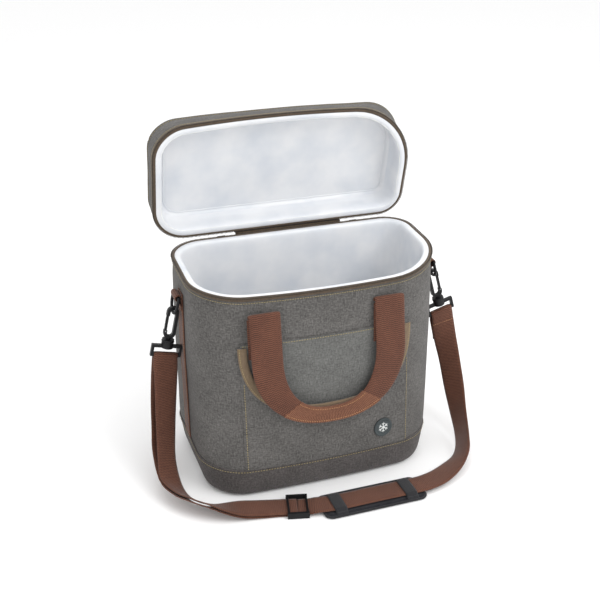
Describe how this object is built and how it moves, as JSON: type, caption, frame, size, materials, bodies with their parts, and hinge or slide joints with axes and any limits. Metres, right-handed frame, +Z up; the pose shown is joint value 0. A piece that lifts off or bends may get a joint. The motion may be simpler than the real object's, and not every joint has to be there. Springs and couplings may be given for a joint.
{
  "type": "insulated cooler bag",
  "caption": "Soft-sided insulated cooler bag with a zipped tray lid, webbing carry handles, a front pocket and a detachable padded shoulder strap on swivel snap hooks.",
  "frame": {"origin": "centre of the flat underside, on the surface the bag stands on", "axes": "+Z up, the front pocket faces -Y, +X to the right of a person facing the bag's back (the right-hand side of the front view)"},
  "size_m": [0.4243, 0.298, 0.4337],
  "materials": {
    "canvas": "heather grey woven polyester",
    "band_canvas": "darker heather woven polyester",
    "light_canvas": "light grey woven polyester",
    "webbing": "reddish-brown ribbed webbing",
    "grip_webbing": "folded tan-brown webbing",
    "tan_binding": "grosgrain tape",
    "zip_tape": "dark brown woven tape",
    "liner": "white welded film",
    "foam": "closed-cell foam",
    "board": "stiffener board",
    "black_plastic": "satin moulded",
    "pad_foam": "knitted cover over foam",
    "badge_rubber": "matt",
    "dark_metal": "dark enamel",
    "steel": "pin"
  },
  "bodies": {
    "bag": {"outer_shell": "canvas", "bottom_band": "band_canvas", "base_panel": "band_canvas", "base_board": "board", "foam_walls": "foam", "foam_base": "foam", "liner": "liner", "rim_zip": "zip_tape", "rim_binding": "zip_tape", "hinge_strip": "zip_tape", "zip_stops": "black_plastic", "pocket_back": "light_canvas", "front_pocket": "canvas", "pocket_binding": "tan_binding", "badge": "badge_rubber", "front_handle_patches": "webbing", "rear_handle_patches": "webbing", "side_strap_left": "webbing", "side_strap_right": "webbing", "tab_left": "webbing", "tab_right": "webbing", "strap_left": "webbing", "strap_return": "webbing", "strap_right": "webbing"},
    "lid": {"lid_shell": "canvas", "lid_foam": "foam", "lid_liner": "liner", "lid_zip": "zip_tape", "lid_piping": "zip_tape"},
    "front_carry_handle": {"front_handle": "webbing", "front_grip": "grip_webbing"},
    "rear_carry_handle": {"rear_handle": "webbing", "rear_grip": "grip_webbing"},
    "ring_left": {"d_ring_left": "black_plastic"},
    "ring_right": {"d_ring_right": "black_plastic"},
    "snap_left": {"hook_left": "black_plastic", "gate_pin_left": "steel"},
    "snap_right": {"hook_right": "black_plastic", "gate_pin_right": "steel"},
    "thumb_gate_left": {"gate_left": "black_plastic"},
    "thumb_gate_right": {"gate_right": "black_plastic"},
    "strap_loop_left": {"swivel_left": "black_plastic"},
    "strap_loop_right": {"swivel_right": "black_plastic"},
    "slider_left": {"zip_slider_left": "dark_metal"},
    "slider_right": {"zip_slider_right": "dark_metal"},
    "pull_left": {"zip_pull_left": "black_plastic"},
    "pull_right": {"zip_pull_right": "black_plastic"},
    "adjuster": {"triglide": "black_plastic"},
    "pad": {"shoulder_pad": "pad_foam", "pad_keepers": "black_plastic"}
  },
  "joints": [
    {"name": "lid_hinge", "type": "hinge", "parent": "bag", "child": "lid", "pos_m": [0, 0.086, 0.2735], "axis": [-1, 0, 0], "range_deg": [-80, 25]},
    {"name": "front_handle_swing", "type": "hinge", "parent": "bag", "child": "front_carry_handle", "pos_m": [0, -0.0934, 0.24], "axis": [-1, 0, 0], "range_deg": [0, 165]},
    {"name": "rear_handle_swing", "type": "hinge", "parent": "bag", "child": "rear_carry_handle", "pos_m": [0, 0.0904, 0.24], "axis": [1, 0, 0], "range_deg": [0, 90]},
    {"name": "d_ring_swing_left", "type": "hinge", "parent": "bag", "child": "ring_left", "pos_m": [-0.15695, 0, 0.238], "axis": [0, 1, 0], "range_deg": [0, 25]},
    {"name": "hook_swing_left", "type": "hinge", "parent": "bag", "child": "snap_left", "pos_m": [-0.15695, 0, 0.238], "axis": [0, 1, 0], "range_deg": [0, 25]},
    {"name": "gate_left", "type": "hinge", "parent": "snap_left", "child": "thumb_gate_left", "pos_m": [-0.17268, 0, 0.19358], "axis": [0, 1, 0], "range_deg": [0, 18], "stiffness_Nm_per_rad": 0.02, "springref_deg": -8.59},
    {"name": "swivel_left", "type": "hinge", "parent": "snap_left", "child": "strap_loop_left", "pos_m": [-0.17024, 0, 0.17949], "axis": [0.2215, 0, 0.9751], "range_deg": [-6, 6]},
    {"name": "zip_slide_left", "type": "slide", "parent": "bag", "child": "slider_left", "axis": [-1, 0, 0], "range_m": [0, 0.016]},
    {"name": "zip_pull_swing_left", "type": "hinge", "parent": "slider_left", "child": "pull_left", "pos_m": [-0.076, 0.0896, 0.2653], "axis": [1, 0, 0], "range_deg": [0, 80]},
    {"name": "d_ring_swing_right", "type": "hinge", "parent": "bag", "child": "ring_right", "pos_m": [0.17562, 0, 0.238], "axis": [0, -1, 0], "range_deg": [0, 25]},
    {"name": "hook_swing_right", "type": "hinge", "parent": "bag", "child": "snap_right", "pos_m": [0.17562, 0, 0.238], "axis": [0, -1, 0], "range_deg": [0, 25]},
    {"name": "gate_right", "type": "hinge", "parent": "snap_right", "child": "thumb_gate_right", "pos_m": [0.1938, 0, 0.19453], "axis": [0, -1, 0], "range_deg": [0, 18], "stiffness_Nm_per_rad": 0.02, "springref_deg": -8.59},
    {"name": "swivel_right", "type": "hinge", "parent": "snap_right", "child": "strap_loop_right", "pos_m": [0.19215, 0, 0.18032], "axis": [-0.2756, 0, 0.9613], "range_deg": [-6, 6]},
    {"name": "zip_slide_right", "type": "slide", "parent": "bag", "child": "slider_right", "axis": [1, 0, 0], "range_m": [0, 0.016]},
    {"name": "zip_pull_swing_right", "type": "hinge", "parent": "slider_right", "child": "pull_right", "pos_m": [0.104, 0.0896, 0.2653], "axis": [1, 0, 0], "range_deg": [0, 80]},
    {"name": "adjuster_slide", "type": "slide", "parent": "bag", "child": "adjuster", "axis": [-0.9703, 0.2419, 0], "range_m": [0, 0.006]},
    {"name": "pad_slide", "type": "slide", "parent": "bag", "child": "pad", "axis": [1, 0, 0], "range_m": [0, 0.008]}
  ],
  "couplings": [
    {"joint": "hook_swing_left", "follows": "d_ring_swing_left", "ratio": 1},
    {"joint": "hook_swing_right", "follows": "d_ring_swing_right", "ratio": 1}
  ]
}
